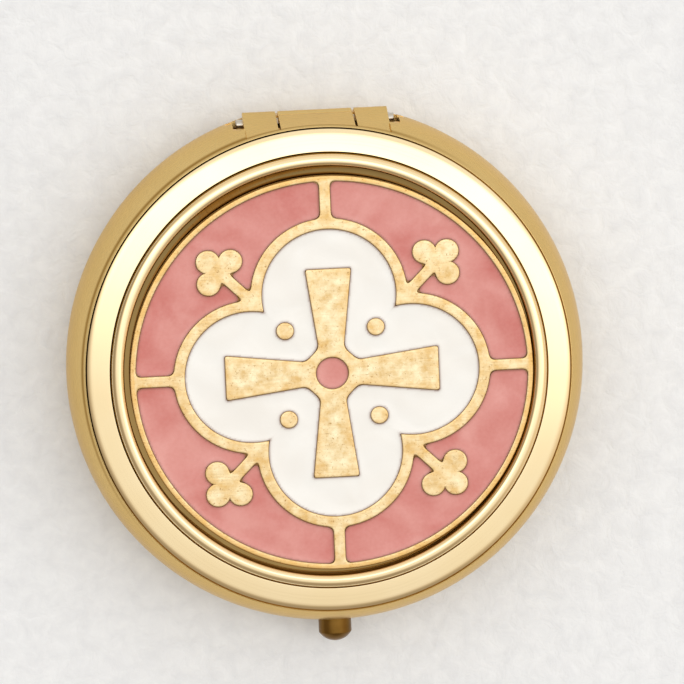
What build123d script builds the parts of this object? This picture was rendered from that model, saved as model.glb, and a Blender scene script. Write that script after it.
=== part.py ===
from build123d import *
import math
import os

# A round hinged pyx of pressed, gilded brass, closed. Millimetres, +Z up.
# The origin is the middle of the flat bottom. The hinge is at +Y and the push button at -Y.

os.makedirs("parts", exist_ok=True)

# Shells
case_radius = 25.0
foot_draft = 0.4
parting_height = 6.6
parting_gap = 0.1
sheet = 0.7
base_corner = 2.0
case_height = 14.0

# Lid face, from the outside in: wall, crease, wide ring, groove, bead, recess
crease_inset = 2.0
crease_drop = 1.1
wall_bulge = 0.3
crease_width = 0.2
crease_depth = 0.25
ring_width = 2.15
ring_rise = 0.45
ring_bulge = 0.12
groove_width = 0.1
groove_depth = 0.15
bead_radius = 0.6
recess_drop = 1.6

# Cup and rim rings
cup_inset = 5.4
cup_wall = 0.6
cup_corner = 1.6
collar_rise = 1.3
collar_clearance = 0.35
ring_sheet = 0.7
seat_gap = 0.05

# Hinge
hinge_inset = 1.6
barrel_radius = 1.15
centre_knuckle = 7.1
barrel_length = 13.8
knuckle_gap = 0.12
pin_radius = 0.5
pin_overhang = 0.7
pin_clearance = 0.05
barrel_clearance = 0.15
notch_depth = 2.2
notch_end_gap = 0.4
relief_margin = 0.1
relief_height = 0.8
pocket_inset = 0.3
pocket_rise = 3.8
leaf_sheet = 0.6
leaf_slope = 12.7
leaf_land = 0.35
leaf_flush = 0.15
slit_width = 0.22
slit_land = 0.35
tail_length = 4.2
flat_inset = 1.0

# Push button
button_radius = 1.6
button_clearance = 0.06
button_height = 3.95
button_reach = 2.6
button_dome = 0.9
button_travel = 0.9
flange_radius = 1.95
flange_depth = 0.5
flange_inset = 1.05
spigot_radius = 0.7
rivet_radius = 1.05
rivet_depth = 0.4

# Catch spring
spring_sheet = 0.2
spring_width = 4.0
hook_width = 3.0
spring_foot = 1.5
spring_bend = 0.8
spring_knee = 2.9
hook_bite = 0.3
hook_gap = 0.1
hook_nose = 0.15
hook_rise = 1.2
slot_clearance = 0.25

# Medallion
medallion_gap = 0.55
medallion_thickness = 1.0
medallion_rim = 0.57
disc_shift_x = 0.22
disc_shift_y = -0.2
adhesive_thickness = 0.12
adhesive_margin = 0.6
cell_depth = 0.35
enamel_sink = 0.1
cell_fillet = 0.25
line_width = 1.1
foil_margin = 3.5
foil_spread = 0.7
cross_margin = 3.75
cross_root = 0.9
cross_end = 2.2
cross_boss = 1.5
dot_radius = 0.85
dot_inset = 1.5
sprig_radius = 1.15
sprig_reach = 1.5
sprig_margin = 1.4

# Levels
lid_rim = parting_height + parting_gap
collar_top = parting_height + collar_rise
base_ring_bottom = parting_height - ring_sheet
lid_ring_top = lid_rim + ring_sheet
crease_height = case_height - crease_drop
ring_inner_height = crease_height + ring_rise
bead_height = case_height - bead_radius
recess_floor = case_height - recess_drop
medallion_bottom = recess_floor + adhesive_thickness
medallion_top = medallion_bottom + medallion_thickness
hinge_z = parting_height + parting_gap / 2

# Radii and distances from the axis of the case
foot_radius = case_radius - foot_draft
cup_outer = case_radius - cup_inset + cup_wall
lid_ring_inner = cup_outer + collar_clearance
crease_radius = case_radius - crease_inset
crease_outer = crease_radius + crease_width
ring_inner_radius = crease_radius - ring_width
bead_outer = ring_inner_radius - groove_width
recess_radius = bead_outer - 2 * bead_radius
hinge_y = case_radius - hinge_inset
hinge_flat = case_radius - flat_inset
hinge_back = hinge_y - barrel_radius - barrel_clearance
flange_face = case_radius - flange_inset
spring_face = flange_face - flange_depth - seat_gap
hook_edge = spring_face + slot_clearance / 2
slot_inner = spring_face - spring_sheet - button_travel - slot_clearance
button_tip = case_radius + button_reach

# Half lengths along the hinge
notch_half = barrel_length / 2 + pin_overhang + notch_end_gap
relief_half = math.sqrt(case_radius**2 - hinge_y**2) + relief_margin
outer_knuckle_start = centre_knuckle / 2 + knuckle_gap

# Medallion, from the rim inwards
medallion_radius = recess_radius - medallion_gap
ground_radius = medallion_radius - medallion_rim
foil_radius = (ground_radius - foil_margin - line_width / 2 - foil_spread) / 2
foil_offset = foil_radius + foil_spread
cross_length = foil_offset + foil_radius - line_width / 2 - cross_margin
dot_centre = foil_offset - dot_inset
sprig_centre = ground_radius - sprig_margin - sprig_radius - sprig_reach


def base_wall(height):
    """Outer radius of the drafted base wall at a height."""
    return foot_radius + (case_radius - foot_radius) * height / parting_height


def lid_lining(height):
    """Inner radius of the lid's straight inner wall at a height."""
    share = (height - lid_rim) / (crease_height - sheet - lid_rim)
    return case_radius - sheet - (case_radius - crease_radius) * share


# Base shell: a shallow pressed pan with a flat bottom, a rounded corner and a flat at the hinge
with BuildPart() as base_shell:
    with BuildSketch(Plane.XZ):
        with BuildLine():
            Polyline(
                (0, 0),
                (foot_radius, 0),
                (case_radius, parting_height),
                (0, parting_height),
                close=True,
            )
        make_face()
    revolve(axis=Axis.Z)
    fillet(base_shell.edges().filter_by(GeomType.CIRCLE).sort_by(Axis.Z)[0], radius=base_corner)
    # Flat below the hinge barrel
    split(bisect_by=Plane.XZ.offset(-hinge_flat), keep=Keep.TOP)
    offset(amount=-sheet, openings=base_shell.faces().sort_by(Axis.Z)[-1])
    # Notch for the hinge barrel
    with BuildSketch(Plane.YZ):
        with Locations((hinge_back, hinge_z - notch_depth)):
            Rectangle(2 * hinge_inset + barrel_radius, 2 * notch_depth, align=(Align.MIN, Align.MIN))
    extrude(amount=notch_half, both=True, mode=Mode.SUBTRACT)
    # Relief beside the barrel, where the round wall stands outside the hinge axis
    with BuildSketch(Plane.YZ):
        with Locations((hinge_y, hinge_z)):
            Rectangle(2 * hinge_inset, 2 * relief_height, align=(Align.MIN, Align.CENTER))
    extrude(amount=relief_half, both=True, mode=Mode.SUBTRACT)
    # Hole for the button
    with BuildSketch(Plane.XZ.offset(flange_face)):
        with Locations((0, button_height)):
            Circle(button_radius + button_clearance)
    extrude(amount=2 * flange_inset, mode=Mode.SUBTRACT)
base_shell.part.label = "base_shell"
export_step(base_shell.part, "parts/base_shell.step")

# Inner cup: stands on the base's floor, and its top edge is the collar that the lid slips over
with BuildPart() as inner_cup:
    with BuildSketch(Plane.XY.offset(sheet)):
        Circle(cup_outer)
    extrude(amount=collar_top - sheet)
    fillet(inner_cup.edges().filter_by(GeomType.CIRCLE).sort_by(Axis.Z)[0], radius=cup_corner)
    offset(amount=-cup_wall, openings=inner_cup.faces().sort_by(Axis.Z)[-1])
    fillet(inner_cup.edges().filter_by(GeomType.CIRCLE).group_by(Axis.Z)[-1], radius=cup_wall / 4)
inner_cup.part.label = "inner_cup"
export_step(inner_cup.part, "parts/inner_cup.step")

# Base rim ring: flat ring between cup and base wall, with a slot for the catch
with BuildPart() as base_rim_ring:
    with BuildSketch(Plane.XY.offset(base_ring_bottom)):
        Circle(base_wall(base_ring_bottom) - sheet - seat_gap)
        Circle(cup_outer + seat_gap, mode=Mode.SUBTRACT)
        with Locations((0, -slot_inner)):
            Rectangle(
                hook_width + 2 * slot_clearance,
                spring_face + slot_clearance - slot_inner,
                align=(Align.CENTER, Align.MAX),
                mode=Mode.SUBTRACT,
            )
        with Locations((0, hinge_back)):
            Rectangle(2 * notch_half, case_radius, align=(Align.CENTER, Align.MIN), mode=Mode.SUBTRACT)
    extrude(amount=ring_sheet)
base_rim_ring.part.label = "base_rim_ring"
export_step(base_rim_ring.part, "parts/base_rim_ring.step")

# Base hinge leaf: the centre knuckle, with a tail that runs down inside the base wall
with BuildPart() as base_hinge_leaf:
    with BuildSketch(Plane.YZ):
        with Locations((hinge_y, hinge_z)):
            Circle(barrel_radius)
        with Locations((hinge_flat - sheet - seat_gap, hinge_z)):
            Rectangle(leaf_sheet, tail_length, align=(Align.MAX, Align.MAX))
        with Locations((hinge_y, hinge_z)):
            Circle(pin_radius, mode=Mode.SUBTRACT)
    extrude(amount=centre_knuckle / 2, both=True)
base_hinge_leaf.part.label = "base_hinge_leaf"
export_step(base_hinge_leaf.part, "parts/base_hinge_leaf.step")

# Hinge pin: tight in the centre knuckle, with rounded ends that stand out of the barrel
with BuildPart() as hinge_pin:
    with BuildSketch(Plane.YZ):
        with Locations((hinge_y, hinge_z)):
            Circle(pin_radius)
    extrude(amount=barrel_length / 2 + pin_overhang, both=True)
    fillet(hinge_pin.edges().filter_by(GeomType.CIRCLE), radius=pin_radius / 2)
hinge_pin.part.label = "hinge_pin"
export_step(hinge_pin.part, "parts/hinge_pin.step")

# Catch spring: a bent strip with its foot on the base's floor and a hook above the lid's ring
with BuildPart() as catch_spring:
    with BuildSketch(Plane.YZ):
        with BuildLine():
            FilletPolyline(
                (-cup_outer - spring_bend, sheet),
                (-cup_outer - spring_bend - spring_foot, sheet),
                (-spring_face, spring_knee),
                (-spring_face, lid_ring_top + hook_rise),
                radius=spring_bend,
            )
            offset(amount=spring_sheet, side=Side.RIGHT)
        make_face()
    extrude(amount=spring_width / 2, both=True)
    # The part that passes through the two slots is narrower
    with BuildSketch(Plane.XZ.offset(spring_face)):
        with GridLocations(spring_width + hook_width, 0, 2, 1):
            with Locations((0, base_ring_bottom - slot_clearance)):
                Rectangle(spring_width, case_height, align=(Align.CENTER, Align.MIN))
    extrude(amount=-spring_width, mode=Mode.SUBTRACT)
    # Hook with a flat underside and a sloping back
    with BuildSketch(Plane.YZ):
        with BuildLine():
            Polyline(
                (-spring_face, lid_ring_top + hook_gap),
                (-hook_edge - hook_bite, lid_ring_top + hook_gap),
                (-hook_edge - hook_bite, lid_ring_top + hook_gap + hook_nose),
                (-spring_face, lid_ring_top + hook_rise),
                close=True,
            )
        make_face()
    extrude(amount=hook_width / 2, both=True)
    with BuildSketch(Plane.XZ.offset(spring_face)):
        with Locations((0, button_height)):
            Circle(spigot_radius + seat_gap)
    extrude(amount=-2 * spring_sheet, mode=Mode.SUBTRACT)
catch_spring.part.label = "catch_spring"
export_step(catch_spring.part, "parts/catch_spring.step")

# Push button: a turned stem with a domed end, a flange inside the wall and a riveted spigot
button_plane = Plane(origin=(0, 0, button_height), x_dir=(0, -1, 0), z_dir=(1, 0, 0))
rivet_face = spring_face - spring_sheet - seat_gap
dome_radius = (button_radius**2 + button_dome**2) / (2 * button_dome)
dome_angle = math.degrees(math.asin(button_radius / dome_radius))
with BuildPart() as push_button:
    with BuildSketch(button_plane):
        with BuildLine():
            Polyline(
                (button_tip, 0),
                (rivet_face - rivet_depth, 0),
                (rivet_face - rivet_depth, rivet_radius),
                (rivet_face, rivet_radius),
                (rivet_face, spigot_radius),
                (flange_face - flange_depth, spigot_radius),
                (flange_face - flange_depth, flange_radius),
                (flange_face, flange_radius),
                (flange_face, button_radius),
                (button_tip - button_dome, button_radius),
            )
            CenterArc((button_tip - dome_radius, 0), dome_radius, 0, dome_angle)
        make_face()
    revolve(axis=Axis((0, 0, button_height), (0, 1, 0)))
push_button.part.label = "push_button"
export_step(push_button.part, "parts/push_button.step")

# The lid's hinge leaf runs from a round head below the crease to a straight foot at the barrel
slope = math.radians(leaf_slope)
leaf_foot_y = hinge_y + barrel_radius * math.cos(slope)
leaf_foot_z = hinge_z + barrel_radius * math.sin(slope)
leaf_top = crease_height - leaf_land
leaf_head_radius = crease_outer + leaf_flush

# Lid shell: side wall, crease, wide ring, bead and recessed floor in one pressing
with BuildPart() as lid_shell:
    with BuildSketch(Plane.XZ):
        with BuildLine():
            SagittaArc((case_radius, lid_rim), (crease_outer, crease_height), -wall_bulge)
            Polyline(
                (crease_outer, crease_height),
                (crease_radius + crease_width / 2, crease_height - crease_depth),
                (crease_radius, crease_height),
            )
            SagittaArc(
                (crease_radius, crease_height),
                (ring_inner_radius, ring_inner_height),
                -ring_bulge,
            )
            Polyline(
                (ring_inner_radius, ring_inner_height),
                (bead_outer, ring_inner_height - groove_depth),
                (bead_outer, bead_height),
            )
            ThreePointArc(
                (bead_outer, bead_height),
                (bead_outer - bead_radius, case_height),
                (recess_radius, bead_height),
            )
            Polyline(
                (recess_radius, bead_height),
                (recess_radius, recess_floor),
                (0, recess_floor),
                (0, recess_floor - sheet),
                (recess_radius + sheet, recess_floor - sheet),
                (recess_radius + sheet, ring_inner_height - groove_depth - sheet),
                (lid_lining(crease_height - sheet), crease_height - sheet),
                (case_radius - sheet, lid_rim),
                (case_radius, lid_rim),
            )
        make_face()
    revolve(axis=Axis.Z)
    # Notch above the hinge barrel
    with BuildSketch(Plane.YZ):
        with Locations((hinge_back, hinge_z)):
            Rectangle(
                2 * hinge_inset + barrel_radius,
                2 * (barrel_radius + barrel_clearance),
                align=(Align.MIN, Align.CENTER),
            )
    extrude(amount=notch_half, both=True, mode=Mode.SUBTRACT)
    # Relief beside the barrel
    with BuildSketch(Plane.YZ):
        with Locations((hinge_y, hinge_z)):
            Rectangle(2 * hinge_inset, 2 * relief_height, align=(Align.MIN, Align.CENTER))
    extrude(amount=relief_half, both=True, mode=Mode.SUBTRACT)
    # Pocket above each end of the pin
    with BuildSketch(Plane.YZ):
        with Locations((hinge_y - pocket_inset, hinge_z)):
            Rectangle(2 * hinge_inset, pocket_rise, align=(Align.MIN, Align.MIN))
    extrude(amount=notch_half, both=True, mode=Mode.SUBTRACT)
    # Seat of the hinge leaf
    with BuildSketch(Plane.XY.offset(leaf_top + seat_gap)):
        Circle(case_radius)
        Circle(leaf_head_radius - leaf_sheet - seat_gap, mode=Mode.SUBTRACT)
        Rectangle(
            barrel_length + 2 * seat_gap,
            case_radius,
            align=(Align.CENTER, Align.MIN),
            mode=Mode.INTERSECT,
        )
    with BuildSketch(Plane.XY.offset(leaf_foot_z)):
        with Locations((0, leaf_foot_y - leaf_sheet - seat_gap)):
            Rectangle(
                barrel_length + 2 * seat_gap,
                2 * hinge_inset,
                align=(Align.CENTER, Align.MIN),
            )
    loft(ruled=True, mode=Mode.SUBTRACT)
lid_shell.part.label = "lid_shell"
export_step(lid_shell.part, "parts/lid_shell.step")

# Lid rim ring: flat ring in the lid's mouth, with the slot whose outer edge the hook holds
with BuildPart() as lid_rim_ring:
    with BuildSketch(Plane.XY.offset(lid_rim)):
        Circle(lid_lining(lid_ring_top) - seat_gap)
        Circle(lid_ring_inner, mode=Mode.SUBTRACT)
        with Locations((0, -slot_inner)):
            Rectangle(
                hook_width + 2 * slot_clearance,
                hook_edge - slot_inner,
                align=(Align.CENTER, Align.MAX),
                mode=Mode.SUBTRACT,
            )
        with Locations((0, hinge_back)):
            Rectangle(2 * notch_half, case_radius, align=(Align.CENTER, Align.MIN), mode=Mode.SUBTRACT)
    extrude(amount=ring_sheet)
lid_rim_ring.part.label = "lid_rim_ring"
export_step(lid_rim_ring.part, "parts/lid_rim_ring.step")

# Lid hinge leaf: plate that turns from round to straight, slit twice, with a knuckle at each end
with BuildPart() as lid_hinge_leaf:
    with BuildSketch(Plane.XY.offset(leaf_top)):
        Circle(leaf_head_radius)
        Circle(leaf_head_radius - leaf_sheet, mode=Mode.SUBTRACT)
        Rectangle(barrel_length, case_radius, align=(Align.CENTER, Align.MIN), mode=Mode.INTERSECT)
    with BuildSketch(Plane.XY.offset(leaf_foot_z)):
        with Locations((0, leaf_foot_y)):
            Rectangle(barrel_length, leaf_sheet, align=(Align.CENTER, Align.MAX))
    loft(ruled=True)
    with BuildSketch(Plane.YZ):
        with Locations((hinge_y, hinge_z)):
            Circle(barrel_radius)
    extrude(amount=barrel_length / 2, both=True)
    with BuildSketch(Plane.YZ):
        with Locations((hinge_y, hinge_z)):
            Circle(pin_radius + pin_clearance)
    extrude(amount=barrel_length / 2, both=True, mode=Mode.SUBTRACT)
    # Room for the centre knuckle
    with BuildSketch(Plane.YZ):
        with Locations((hinge_y, hinge_z)):
            Rectangle(4 * barrel_radius, 2 * (barrel_radius + barrel_clearance))
    extrude(amount=outer_knuckle_start, both=True, mode=Mode.SUBTRACT)
    # Slits from the barrel up to a narrow land below the crease
    with BuildSketch(Plane.XZ.offset(-case_radius)):
        with GridLocations(2 * outer_knuckle_start, 0, 2, 1):
            with Locations((0, hinge_z)):
                Rectangle(slit_width, leaf_top - slit_land - hinge_z, align=(Align.CENTER, Align.MIN))
    extrude(amount=case_radius - hinge_back, mode=Mode.SUBTRACT)
lid_hinge_leaf.part.label = "lid_hinge_leaf"
export_step(lid_hinge_leaf.part, "parts/lid_hinge_leaf.step")


def quatrefoil(radius):
    """Four round lobes about the middle, as one outline; used inside a sketch."""
    with PolarLocations(foil_offset, 4):
        Circle(radius)
    Circle(foil_offset)


def flared_cross():
    """Four arms that widen outwards from the middle; used inside a sketch."""
    for turn in range(4):
        with Locations(Location((0, 0, 0), (0, 0, 90 * turn))):
            Polygon(
                (0, -cross_root),
                (cross_length, -cross_end),
                (cross_length, cross_end),
                (0, cross_root),
                align=None,
            )


# Outlines of the medallion's cells, seen from above
with BuildSketch() as boss_fill:
    Circle(cross_boss)
with BuildSketch() as foil_fill:
    quatrefoil(foil_radius - line_width / 2)
    # Cross and four dots stand out of the white
    with BuildSketch(mode=Mode.SUBTRACT):
        flared_cross()
        Circle(cross_boss + line_width)
    fillet(foil_fill.vertices(), radius=cell_fillet)
    with PolarLocations(dot_centre, 4, start_angle=45):
        Circle(dot_radius, mode=Mode.SUBTRACT)
with BuildSketch() as ground_fills:
    Circle(ground_radius)
    with BuildSketch(mode=Mode.SUBTRACT):
        quatrefoil(foil_radius + line_width / 2)
        # A bar from each lobe to the rim
        Rectangle(2 * medallion_radius, line_width)
        Rectangle(line_width, 2 * medallion_radius)
        # A three-leaved sprig on a stem between the lobes
        for turn in range(4):
            with Locations(Location((0, 0, 0), (0, 0, 45 + 90 * turn))):
                Rectangle(sprig_centre + sprig_reach, line_width, align=(Align.MIN, Align.CENTER))
                with Locations((sprig_centre, 0)):
                    with Locations((sprig_reach, 0), (0, sprig_reach), (0, -sprig_reach)):
                        Circle(sprig_radius)
    fillet(ground_fills.vertices(), radius=cell_fillet)

# The disc lies a little off the middle of its recess
disc_foot = Plane(origin=(disc_shift_x, disc_shift_y, medallion_bottom))
disc_face = disc_foot.offset(medallion_thickness)
cell_floor = disc_face.offset(-cell_depth)

# Medallion plate: struck disc whose lines stand above sunk cells
with BuildPart() as medallion_plate:
    with BuildSketch(disc_foot):
        Circle(medallion_radius)
    extrude(amount=medallion_thickness)
    with BuildSketch(disc_face):
        add(ground_fills.sketch)
        add(foil_fill.sketch)
        add(boss_fill.sketch)
    extrude(amount=-cell_depth, mode=Mode.SUBTRACT)
medallion_plate.part.label = "medallion_plate"
export_step(medallion_plate.part, "parts/medallion_plate.step")

# Enamel: fills the cells to just below the lines
with BuildPart() as enamel_pink:
    with BuildSketch(cell_floor):
        add(ground_fills.sketch)
        add(boss_fill.sketch)
    extrude(amount=cell_depth - enamel_sink)
enamel_pink.part.label = "enamel_pink"
export_step(enamel_pink.part, "parts/enamel_pink.step")

with BuildPart() as enamel_white:
    with BuildSketch(cell_floor):
        add(foil_fill.sketch)
    extrude(amount=cell_depth - enamel_sink)
enamel_white.part.label = "enamel_white"
export_step(enamel_white.part, "parts/enamel_white.step")

# Adhesive film under the medallion
with BuildPart() as medallion_adhesive:
    with BuildSketch(disc_foot):
        Circle(medallion_radius - adhesive_margin)
    extrude(amount=-adhesive_thickness)
medallion_adhesive.part.label = "medallion_adhesive"
export_step(medallion_adhesive.part, "parts/medallion_adhesive.step")
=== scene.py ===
import bmesh
import bpy
import numpy as np
from mathutils import Matrix, Vector


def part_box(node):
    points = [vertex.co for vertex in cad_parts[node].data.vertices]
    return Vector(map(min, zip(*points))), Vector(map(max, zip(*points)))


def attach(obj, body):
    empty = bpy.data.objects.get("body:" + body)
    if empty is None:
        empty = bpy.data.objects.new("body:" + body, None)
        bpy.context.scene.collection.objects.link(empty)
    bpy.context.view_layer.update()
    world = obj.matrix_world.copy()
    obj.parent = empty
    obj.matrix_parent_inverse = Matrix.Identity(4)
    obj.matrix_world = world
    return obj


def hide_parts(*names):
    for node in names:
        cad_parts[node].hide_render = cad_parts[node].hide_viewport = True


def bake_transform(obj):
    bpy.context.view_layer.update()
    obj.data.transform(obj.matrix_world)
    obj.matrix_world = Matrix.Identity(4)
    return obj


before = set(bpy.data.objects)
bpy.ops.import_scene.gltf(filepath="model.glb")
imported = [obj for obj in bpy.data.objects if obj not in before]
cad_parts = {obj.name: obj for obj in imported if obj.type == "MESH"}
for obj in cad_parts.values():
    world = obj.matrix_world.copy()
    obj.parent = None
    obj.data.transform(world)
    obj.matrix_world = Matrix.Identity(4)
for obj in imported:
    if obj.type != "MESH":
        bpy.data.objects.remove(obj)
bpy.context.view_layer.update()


# Base shell. A shallow pan pressed from 0.7 mm brass sheet and gilded, with a rounded lower corner.
# A flat and a notch at the back take the hinge, and a drilled hole in front takes the push button.
# Its wall was left satin by the barrel finish, so it shows the floor around it as a plain tan.
def linear(code):
    """sRGB hex to linear RGBA: ((c + 0.055) / 1.055) ** 2.4 above 0.04045 and c / 12.92 below."""
    c = np.array([int(code[i:i + 2], 16) for i in (0, 2, 4)]) / 255
    return (*np.where(c > 0.04045, ((c + 0.055) / 1.055) ** 2.4, c / 12.92), 1.0)


def add_node(tree, kind, fields=None, values=None, links=None, out=None, to=None):
    """Adds one shader node, sets its fields and its inputs' values, and links inputs to given outputs.

    Returns the output named, or else the first in use, and links that on to the socket `to` if given.
    """
    node = tree.nodes.new("ShaderNode" + kind)
    for key, value in (fields or {}).items():
        setattr(node, key, value)
    for key, value in (values or {}).items():
        node.inputs[key].default_value = value
    for key, output in (links or {}).items():
        tree.links.new(output, node.inputs[key])
    output = node.outputs[out] if out else next((o for o in node.outputs if o.enabled), None)
    if to:
        tree.links.new(output, to)
    return output


def new_material(name):
    """A node material, its tree, the inputs of its Principled shader and Object coordinates in mm."""
    material = bpy.data.materials.new(name)
    material.use_nodes = True
    tree = material.node_tree
    tree.nodes.clear()
    surface = add_node(tree, "BsdfPrincipled")
    add_node(tree, "OutputMaterial", links={"Surface": surface})
    where = add_node(tree, "TexCoord", out="Object")
    mm = add_node(tree, "Mapping", {}, {"Scale": (1000, 1000, 1000)}, {"Vector": where})
    return material, tree, surface.node.inputs, mm


def gilt_brass(name, bright, dull, edge, rough, scratch_mm, scratch_height, painted_shade=None):
    """Gold plate on spun brass: polish lines run round the axis, and thin plate shows as clouds.

    Colour mixes two golds by a soft noise of about 6 mm, and a third tints the glancing reflection.
    Polish lines are a noise of the radius plus the height, drawn coarser than real ones of 0.02 mm.
    A painted shade is a colour, the height in millimetres where it lies and how far it spreads: a band
    of painted shade there. It keeps to the back left of the case, and comes in over 16 mm.
    """
    cloud_mm, back_left, cover_mm = 6.0, (-0.7, 0.7, 0), 16
    colours, smooth = {"data_type": "RGBA"}, {"interpolation_type": "SMOOTHSTEP"}
    material, tree, shader, mm = new_material(name)
    shader["Metallic"].default_value = 1.0
    shader["Specular Tint"].default_value = linear(edge)
    flat = add_node(tree, "VectorMath", {"operation": "MULTIPLY"}, {1: (1, 1, 0)}, {0: mm})
    radius = add_node(tree, "VectorMath", {"operation": "LENGTH"}, {}, {0: flat})
    height = add_node(tree, "SeparateXYZ", {}, {}, {0: mm}, out="Z")
    along = add_node(tree, "Math", {"operation": "ADD"}, {}, {0: radius, 1: height})
    lines = add_node(tree, "TexNoise", {"noise_dimensions": "1D"},
                     {"Scale": 1 / scratch_mm, "Detail": 3.0}, {"W": along})
    clouds = add_node(tree, "TexNoise", {}, {"Scale": 1 / cloud_mm, "Detail": 2.0}, {"Vector": mm})
    colour = add_node(tree, "Mix", colours, {"A": linear(bright), "B": linear(dull)},
                      {"Factor": clouds})
    # Painted shade: a darker colour in a band at one height, towards the back left.
    if painted_shade:
        shade_colour, middle, spread = painted_shade
        above = add_node(tree, "Math", {"operation": "SUBTRACT"}, {1: middle}, {0: height})
        away = add_node(tree, "Math", {"operation": "ABSOLUTE"}, {}, {0: above})
        band = add_node(tree, "MapRange", smooth,
                        {"From Min": 0, "From Max": spread, "To Min": 1, "To Max": 0}, {"Value": away})
        aside = add_node(tree, "VectorMath", {"operation": "DOT_PRODUCT"}, {1: back_left}, {0: mm})
        cover = add_node(tree, "MapRange", smooth, {"From Min": 0, "From Max": cover_mm},
                         {"Value": aside})
        share = add_node(tree, "Math", {"operation": "MULTIPLY"}, {}, {0: band, 1: cover})
        colour = add_node(tree, "Mix", colours, {"B": linear(shade_colour)}, {"Factor": share, "A": colour})
    tree.links.new(colour, shader["Base Color"])
    add_node(tree, "MapRange", {},
             {"From Min": 0.3, "From Max": 0.7, "To Min": rough * 0.8, "To Max": rough * 1.25},
             {"Value": lines}, to=shader["Roughness"])
    add_node(tree, "Bump", {}, {"Strength": 1.0, "Distance": scratch_height / 1000}, {"Height": lines},
             to=shader["Normal"])
    return material


def soften(section, radius, closed=True, turn=7.0, span=1.0):
    """A section with rounded corners, as pressed sheet has.

    Resamples the line every 0.01 mm, averages it twice over the given radius, then thins it so that
    no step turns by more than `turn` degrees or spans more than `span` millimetres.
    Columns after the first two ride along.
    """
    fine_step = 0.01
    section = np.asarray(section, float)
    line = np.vstack([section, section[:1]]) if closed else section
    walk = np.concatenate([[0], np.cumsum(np.hypot(*np.diff(line[:, :2], axis=0).T))])
    fine = np.linspace(0, walk[-1], int(walk[-1] / fine_step), endpoint=not closed)
    line = np.stack([np.interp(fine, walk, column) for column in line.T], 1)
    reach = max(2, int(radius / fine_step))
    box = np.ones(reach) / reach
    window = np.convolve(box, box)
    side = len(window) // 2
    padding = ((side, len(window) - 1 - side), (0, 0))
    if closed:
        padded = np.pad(line, padding, "wrap")
    else:
        padded = np.pad(line, padding, "reflect", reflect_type="odd")
    line = np.stack([np.convolve(column, window, "valid") for column in padded.T], 1)
    if closed:
        line = np.vstack([line, line[:1]])
    step = np.diff(line[:, :2], axis=0)
    bend = np.abs(np.diff(np.unwrap(np.arctan2(step[:, 1], step[:, 0])), prepend=np.nan))
    bend[0] = 0
    cost = np.concatenate([[0], np.cumsum(bend / np.radians(turn) + np.hypot(*step.T) / span)])
    picks = np.linspace(0, cost[-1], int(np.ceil(cost[-1])) + 1)
    line = np.stack([np.interp(picks, cost, column) for column in line.T], 1)
    return line[:-1] if closed else line


def grid_faces(rows, columns, wrap_rows=False, wrap_columns=False):
    """Corner numbers of all quads of a grid of points stored row after row."""
    i, j = np.meshgrid(np.arange(rows - (not wrap_rows)), np.arange(columns - (not wrap_columns)),
                       indexing="ij")
    below, beside = (i + 1) % rows, (j + 1) % columns
    corners = [i * columns + j, i * columns + beside, below * columns + beside, below * columns + j]
    return np.stack(corners, -1).reshape(-1, 4)


def put_mesh(name, points, faces, finishes, finish_of_face=None, caps=()):
    """A smooth object from points in millimetres, its doubles merged and its faces turned outwards."""
    mesh = bpy.data.meshes.new(name)
    corners = faces.tolist() + [list(cap) for cap in caps]
    mesh.from_pydata((np.asarray(points) * 0.001).tolist(), [], corners)
    if finish_of_face is not None:
        mesh.polygons.foreach_set("material_index", np.asarray(finish_of_face, np.int32))
    for finish in finishes:
        mesh.materials.append(finish)
    work = bmesh.new()
    work.from_mesh(mesh)
    bmesh.ops.remove_doubles(work, verts=work.verts, dist=2e-6)
    bmesh.ops.dissolve_degenerate(work, edges=work.edges, dist=1e-6)
    bmesh.ops.recalc_face_normals(work, faces=work.faces)
    work.to_mesh(mesh)
    work.free()
    mesh.shade_smooth()
    piece = bpy.data.objects.new(name, mesh)
    bpy.context.scene.collection.objects.link(piece)
    return piece


def spin(section, turns=384, warp=None):
    """Grid of a section turned about Z: (r cos a, r sin a, z), with a, r and z bent by warp if given."""
    angle = np.linspace(0, 2 * np.pi, turns, endpoint=False)
    angle, r = np.meshgrid(angle, section[:, 0])
    z = np.repeat(section[:, 1:2], turns, 1)
    if warp:
        angle, r, z = warp(angle, r, z)
    return np.stack([r * np.cos(angle), r * np.sin(angle), z], -1)


def put_turned(name, grid, finishes, closed=False, finish_of_row=None):
    """The piece of a turned grid: rows follow its section, which may be closed, and columns go round."""
    rows, columns = grid.shape[:2]
    faces = grid_faces(rows, columns, wrap_rows=closed, wrap_columns=True)
    finish_of_face = None if finish_of_row is None else np.repeat(finish_of_row, columns)
    return put_mesh(name, grid.reshape(-1, 3), faces, finishes, finish_of_face)


def bar(name, stations, section, finishes):
    """A closed piece: a (y, z) section, one for each station along X, with a flat cap at both ends."""
    section = np.broadcast_to(section, (len(stations), *np.shape(section)[-2:]))
    x = np.broadcast_to(np.asarray(stations, float)[:, None, None], (*section.shape[:2], 1))
    rows, columns = section.shape[:2]
    caps = (range(columns), range((rows - 1) * columns, rows * columns))
    return put_mesh(name, np.concatenate([x, section], -1).reshape(-1, 3),
                    grid_faces(rows, columns, wrap_columns=True), finishes, caps=caps)


def cut_away(piece, *cutters):
    """Takes the cutters out of a piece, keeps the result as its mesh and removes the cutters."""
    for cutter in cutters:
        tool = piece.modifiers.new(cutter.name, "BOOLEAN")
        tool.operation, tool.solver, tool.object = "DIFFERENCE", "EXACT", cutter
    seen = piece.evaluated_get(bpy.context.evaluated_depsgraph_get())
    mesh = bpy.data.meshes.new_from_object(seen)
    piece.modifiers.clear()
    piece.data = mesh
    mesh.set_sharp_from_angle(angle=np.radians(40))
    for cutter in cutters:
        bpy.data.objects.remove(cutter)


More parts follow.
